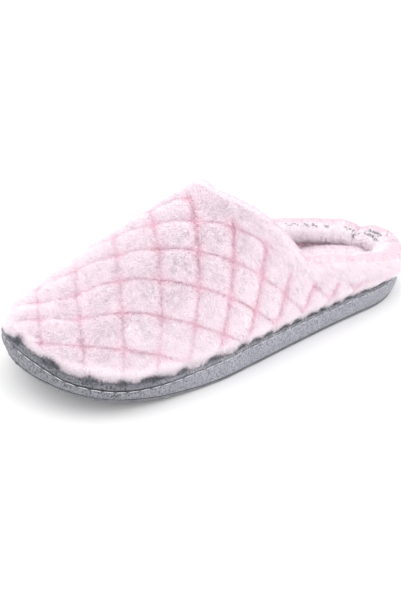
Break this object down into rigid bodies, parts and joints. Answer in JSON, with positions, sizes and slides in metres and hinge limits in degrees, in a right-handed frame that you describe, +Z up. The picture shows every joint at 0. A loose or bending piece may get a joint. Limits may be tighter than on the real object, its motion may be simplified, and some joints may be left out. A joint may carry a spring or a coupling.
{
  "type": "clog slipper",
  "caption": "Backless clog slipper: hollow diamond-quilted fleece upper, padded rolled collar, fleece footbed and knit-wrapped foam sole on a thin rubber outsole",
  "frame": {"origin": "under the middle of the slipper's box, on the floor that it stands on", "axes": "+Z up; +Y towards the heel and -Y towards the toe; +X towards the outer (lateral) side of the left foot"},
  "size_m": [0.1024, 0.2704, 0.092],
  "materials": {
    "outsole_rubber": "matte dark grey moulded rubber",
    "sole_knit": "heather grey knit over foam",
    "rand_knit": "brushed heather grey knit, turned edge",
    "upper_fleece": "soft pale pink coral fleece, quilted",
    "insole_fleece": "soft pale pink coral fleece"
  },
  "bodies": {
    "root": {"outsole": "outsole_rubber", "sole": "sole_knit", "rand": "rand_knit", "upper": "upper_fleece", "insole": "insole_fleece"}
  },
  "joints": []
}
